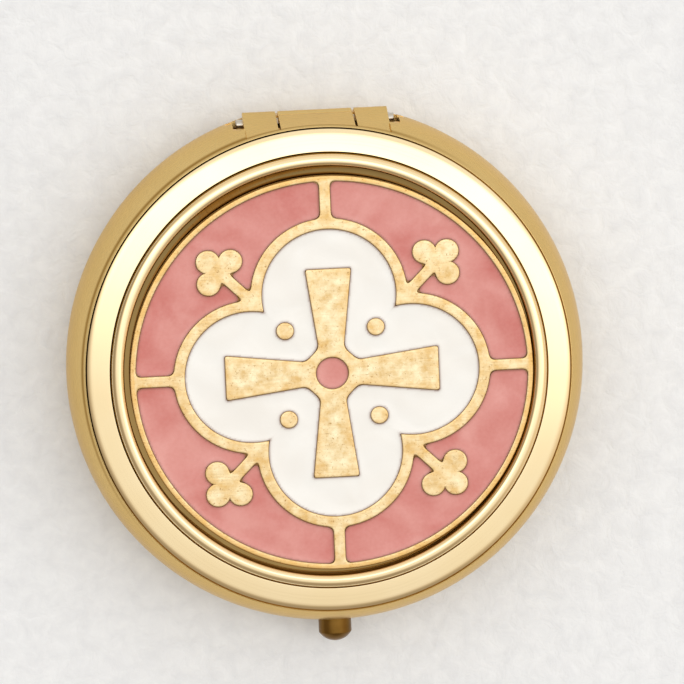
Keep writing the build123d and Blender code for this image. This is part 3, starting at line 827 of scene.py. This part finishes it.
def struck_gilt(name):
    """Struck and rubbed gold: pale where rubbed, in patches of 1.1 mm, with brown oxide by the enamel.

    Gold is deeper where it is unworn, and brown in pits of about 0.2 mm. Rub marks are a noise of
    0.14 mm by 3 mm, drawn about twice as coarse as real ones.
    """
    rub_length, rub_width, pit_mm, patch_mm, relief_height = 3.0, 0.14, 0.22, 1.1, 1.2e-5
    colours = {"data_type": "RGBA"}
    material, tree, shader, mm = new_material(name)
    shader["Metallic"].default_value = 1.0
    turned = add_node(tree, "Mapping", {},
                      {"Rotation": (0, 0, 0.6), "Scale": (1 / rub_length, 1 / rub_width, 1)},
                      {"Vector": mm})
    rubs = add_node(tree, "TexNoise", {}, {"Scale": 1.0, "Detail": 3.0, "Roughness": 0.6},
                    {"Vector": turned})
    pits = add_node(tree, "TexNoise", {}, {"Scale": 1 / pit_mm, "Detail": 4.0, "Roughness": 0.7},
                    {"Vector": mm})
    pitted = add_node(tree, "MapRange", {}, {"From Min": 0.6, "From Max": 0.72}, {"Value": pits})
    patches = add_node(tree, "TexNoise", {}, {"Scale": 1 / patch_mm, "Detail": 4.0, "Roughness": 0.6},
                       {"Vector": mm})
    thin = add_node(tree, "MapRange", {}, {"From Min": 0.36, "From Max": 0.7}, {"Value": patches})
    plate = add_node(tree, "Mix", colours, {"A": linear("EADCB6"), "B": linear("CDAB72")},
                     {"Factor": thin})
    unworn = add_node(tree, "Attribute", {"attribute_name": "unworn"}, out="Fac")
    warm = add_node(tree, "Mix", colours, {"B": linear("DBAE64")}, {"Factor": unworn, "A": plate})
    gold = add_node(tree, "Mix", colours, {"B": linear("A8783A")}, {"Factor": pitted, "A": warm})
    oxide = add_node(tree, "Attribute", {"attribute_name": "oxide"}, out="Fac")
    add_node(tree, "Mix", colours, {"B": linear("7A4E1E")}, {"Factor": oxide, "A": gold},
             to=shader["Base Color"])
    add_node(tree, "MapRange", {}, {"To Min": 0.24, "To Max": 0.44}, {"Value": rubs},
             to=shader["Roughness"])
    relief = add_node(tree, "Math", {"operation": "MULTIPLY_ADD"}, {1: -0.8}, {0: pitted, 2: rubs})
    add_node(tree, "Bump", {}, {"Strength": 1.0, "Distance": relief_height}, {"Height": relief},
             to=shader["Normal"])
    return material


# The lines' tops lie flat, round over by a quarter ellipse and drop straight to the disc's foot.
# A plain round back under the cells closes the disc.
round_over, round_drop, round_rows, back_inset = 0.15, 0.11, 5, 0.1
land, quads, border = field_patch(gold_lines, level=-round_over, pitch=0.12)
rim = np.unique(border)
a = np.linspace(0, np.pi / 2, round_rows + 1)[1:]
gx, gy = slope_of(gold_lines, land[rim, 0], land[rim, 1])
reach = (round_over * np.sin(a))[:, None]
level = (medallion_top - round_drop * (1 - np.cos(a)))[:, None]
skirt = np.stack([land[rim, 0] + gx * reach, land[rim, 1] + gy * reach,
                  np.broadcast_to(level, (round_rows, len(rim)))], -1)
top_points = np.insert(land, 2, medallion_top, axis=1)
foot_points = np.insert(land, 2, medallion_bottom, axis=1)
foot_points[rim, :2] = land[rim] + np.stack([gx, gy], 1) * round_over
foot_start = len(land) + round_rows * len(rim)
place = np.full(len(land), -1)
place[rim] = np.arange(len(rim))
here, beyond = place[border].T
skirt_rows = len(land) + np.arange(round_rows * len(rim)).reshape(round_rows, -1)
rings = np.vstack([rim[None], skirt_rows, foot_start + rim[None]])
upper, lower = rings[:-1], rings[1:]
walls = np.stack([upper[:, beyond], upper[:, here], lower[:, here], lower[:, beyond]], -1)
grille_points = np.vstack([top_points, skirt.reshape(-1, 3), foot_points])
grille_faces = np.vstack([quads, walls.reshape(-1, 4), foot_start + quads[:, ::-1]])
back_radius = medallion_radius - back_inset
back = soften([(0, medallion_bottom), (back_radius, medallion_bottom), (back_radius, cell_floor),
               (0, cell_floor)], radius=0.05, closed=False)
back = spin(back, turns=128)
back_faces = len(grille_points) + grid_faces(*back.shape[:2], wrap_columns=True)
plate_points = np.vstack([grille_points, back.reshape(-1, 3)]) * disc_oval + disc_shift
medallion_plate = put_mesh("medallion_plate_struck", plate_points, np.vstack([grille_faces, back_faces]),
                           [struck_gilt("struck_gilt_brass")])
x, y, z = disc_spots(medallion_plate).T
oxide_start, oxide_fade, rim_fade = 0.02, 0.08, 0.2
oxide_most, oxide_rubbed, rim_unworn, line_unworn = 0.85, 0.6, 0.75, 0.35
depth = np.clip((medallion_top - oxide_start - z) / oxide_fade, 0, 1)
outer_rim = np.clip((np.hypot(x, y) - ground_radius) / rim_fade, 0, 1)
rubbed = np.clip(-gold_lines(x, y) - round_over, 0, 1)
unworn = np.maximum(rim_unworn * outer_rim, line_unworn * (1 - rubbed))
paint_points(medallion_plate, "oxide", depth * (oxide_most - oxide_rubbed * outer_rim))
paint_points(medallion_plate, "unworn", unworn)
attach(medallion_plate, "lid")
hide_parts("medallion_plate")


# Enamel. Glass fired into the cells, pink for the ground and the boss, white inside the foil.
# It sank a little as it cooled and clings to the lines, so each fill is a shallow dish.
def enamel_glass(name, body, deep, cloud):
    """Opaque enamel: coloured glass with a glossy, slightly wavy skin, stained brown along the lines.

    Its colour drifts between body and deep over about 5 mm, and a finer noise of 0.35 mm adds to that by
    the share `cloud`.
    This mix is painted sheen: lighter and darker patches that stand for glossy reflections.
    """
    wave_and_sheen_mm, grain_mm, wave_height = 5.0, 0.35, 1.2e-4
    colours = {"data_type": "RGBA"}
    material, tree, shader, mm = new_material(name)
    shader["IOR"].default_value = 1.52
    shader["Roughness"].default_value = 0.1
    wave_and_sheen = add_node(tree, "TexNoise", {}, {"Scale": 1 / wave_and_sheen_mm, "Detail": 2.0, "Distortion": 0.6},
                     {"Vector": mm})
    grain = add_node(tree, "TexNoise", {}, {"Scale": 1 / grain_mm, "Detail": 3.0}, {"Vector": mm})
    tint = add_node(tree, "Math", {"operation": "MULTIPLY_ADD"}, {1: cloud}, {0: grain, 2: wave_and_sheen})
    share = add_node(tree, "MapRange", {}, {"From Min": 0.35, "From Max": 0.65 + cloud},
                     {"Value": tint})
    # Painted sheen: body and deep mix into lighter and darker patches that stand for glossy reflections.
    colour = add_node(tree, "Mix", colours, {"A": linear(body), "B": linear(deep)}, {"Factor": share})
    edge = add_node(tree, "Attribute", {"attribute_name": "edge"}, out="Fac")
    add_node(tree, "Mix", colours, {"B": linear("7A4A2C")}, {"Factor": edge, "A": colour},
             to=shader["Base Color"])
    add_node(tree, "Bump", {}, {"Strength": 1.0, "Distance": wave_height}, {"Height": wave_and_sheen},
             to=shader["Normal"])
    return material


def enamel_fill(name, distance, node, material):
    """A closed fill on a flat foot, whose top lies 0.14 mm below the lines.

    It gains 0.09 exp(-d / 0.35), d being the distance from the line, and sways by 0.045 mm in
    soft waves of about 6 mm that fade in over the first millimetre.
    """
    sink, cling, cling_reach, sway, stain, stain_reach = 0.14, 0.09, 0.35, 0.045, 0.75, 0.09
    points, quads, border = field_patch(distance, level=0.0, pitch=0.16)
    x, y = points.T
    inner = -distance(x, y)
    inner[np.unique(border)] = 0
    waves = sway * np.sin(x / 1.1 + 0.7 + np.sin(y / 2.1)) * np.sin(y / 0.9 + 0.4)
    height = medallion_top - sink + cling * np.exp(-inner / cling_reach) + waves * np.clip(inner, 0, 1)
    top = np.column_stack([points, height])
    foot = np.insert(points, 2, cell_floor, axis=1)
    here, beyond = border.T
    walls = np.stack([beyond, here, len(points) + here, len(points) + beyond], 1)
    faces = np.vstack([quads, walls, len(points) + quads[:, ::-1]])
    piece = put_mesh(name, np.vstack([top, foot]) * disc_oval + disc_shift, faces, [material])
    piece.data.set_sharp_from_angle(angle=np.radians(55))
    x, y = disc_spots(piece)[:, :2].T
    paint_points(piece, "edge", np.clip(np.exp(distance(x, y) / stain_reach) * stain, 0, stain))
    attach(piece, "lid")
    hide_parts(node)


enamel_fill("enamel_pink_glass", pink_cells, "enamel_pink",
            enamel_glass("pink_enamel_glass", "E39F97", "CC736A", 0.2))
enamel_fill("enamel_white_glass", white_cell, "enamel_white",
            enamel_glass("white_enamel_glass", "F6F6F3", "F2F0EB", 0.1))


# Studio. The case lies on white rag paper, in a pale room with a soft light overhead.
# A brighter strip of that light lies towards the hinge, and the room is dimmer at the front left.
# Paper fibres are clumps of about 1.8 mm, drawn coarser than real ones so that they show.
clump_mm, clump_height = 1.8, 2e-4
paper, tree, shader, mm = new_material("white_rag_paper")
shader["Roughness"].default_value = 0.9
clumps = add_node(tree, "TexNoise", {},
                  {"Scale": 1 / clump_mm, "Detail": 6.0, "Roughness": 0.6, "Distortion": 0.4},
                  {"Vector": mm})
shade = add_node(tree, "MapRange", {}, {"From Min": 0.3, "From Max": 0.75}, {"Value": clumps})
add_node(tree, "Mix", {"data_type": "RGBA"}, {"A": linear("F3F6F9"), "B": linear("E7EAEE")},
         {"Factor": shade}, to=shader["Base Color"])
add_node(tree, "Bump", {}, {"Strength": 0.95, "Distance": clump_height}, {"Height": clumps},
         to=shader["Normal"])
floor_mesh = bpy.data.meshes.new("paper_floor")
floor_mesh.from_pydata([(-1, -1, 0), (1, -1, 0), (1, 1, 0), (-1, 1, 0)], [], [(0, 1, 2, 3)])
floor_mesh.materials.append(paper)
floor = bpy.data.objects.new("paper_floor", floor_mesh)
bpy.context.scene.collection.objects.link(floor)

world = bpy.data.worlds.new("pale_room")
world.use_nodes = True
bpy.context.scene.world = world
tree = world.node_tree
tree.nodes.clear()
overhead, window_side, hinge_side = (0.1, 0.2, 1.0), (0.7, 0.7, 0), (0.2, 1.0, 0)
ramps = (
    (overhead, 0.45, 0.9, 0, 1),
    (window_side, -0.4, 0.5, 0.4, 0.95),
    (hinge_side, -0.24, 0.18, 0, 1),
    (hinge_side, 0.22, 0.5, 1.08, 0),
)
sky = add_node(tree, "TexCoord", out="Generated")
steps = []
for direction, start, end, low, high in ramps:
    toward = add_node(tree, "VectorMath", {"operation": "DOT_PRODUCT"}, {1: direction}, {0: sky})
    steps.append(add_node(tree, "MapRange", {"interpolation_type": "SMOOTHSTEP"},
                          {"From Min": start, "From Max": end, "To Min": low, "To Max": high},
                          {"Value": toward}))
softbox_share, wall_level, strip_start, strip_end = steps
softbox_level = add_node(tree, "Math", {"operation": "MULTIPLY_ADD"}, {2: 1.06},
                         {0: strip_start, 1: strip_end})
level = add_node(tree, "Mix", {"data_type": "FLOAT"}, {},
                 {"Factor": softbox_share, "A": wall_level, "B": softbox_level})
paint = add_node(tree, "Mix", {"data_type": "RGBA"}, {"A": linear("FFEFDA"), "B": linear("FFFFFF")},
                 {"Factor": softbox_share})
room = add_node(tree, "Background", {}, {}, {"Color": paint, "Strength": level})
add_node(tree, "OutputWorld", {}, {}, {"Surface": room})


# Camera. A long lens nearly overhead, which leans a little to the hinge and the left.
# It stands 450 mm from the parting and is rolled by 2.5 degrees, as the photographed case is.
tilt, bearing, roll = np.radians((7.42, 119.7, 2.48))
camera_distance, aim = 0.45, Vector((0.001713, 0.001965, 0.00665))
image_width, focal_pixels, sensor_width = 684, 4659.7, 36
toward = Vector((np.sin(tilt) * np.cos(bearing), np.sin(tilt) * np.sin(bearing), np.cos(tilt)))
right = Vector((0, 1, 0)).cross(toward).normalized()
up = toward.cross(right)
right, up = np.cos(roll) * right - np.sin(roll) * up, np.sin(roll) * right + np.cos(roll) * up
lens = bpy.data.cameras.new("overhead_camera")
lens.sensor_width = sensor_width
lens.lens = focal_pixels * sensor_width / image_width
lens.clip_start = 0.01
camera = bpy.data.objects.new("overhead_camera", lens)
turned = Matrix((right, up, toward)).transposed().to_4x4()
camera.matrix_world = Matrix.Translation(aim + toward * camera_distance) @ turned
bpy.context.scene.collection.objects.link(camera)
bpy.context.scene.camera = camera
bpy.context.scene.view_settings.view_transform = "Standard"
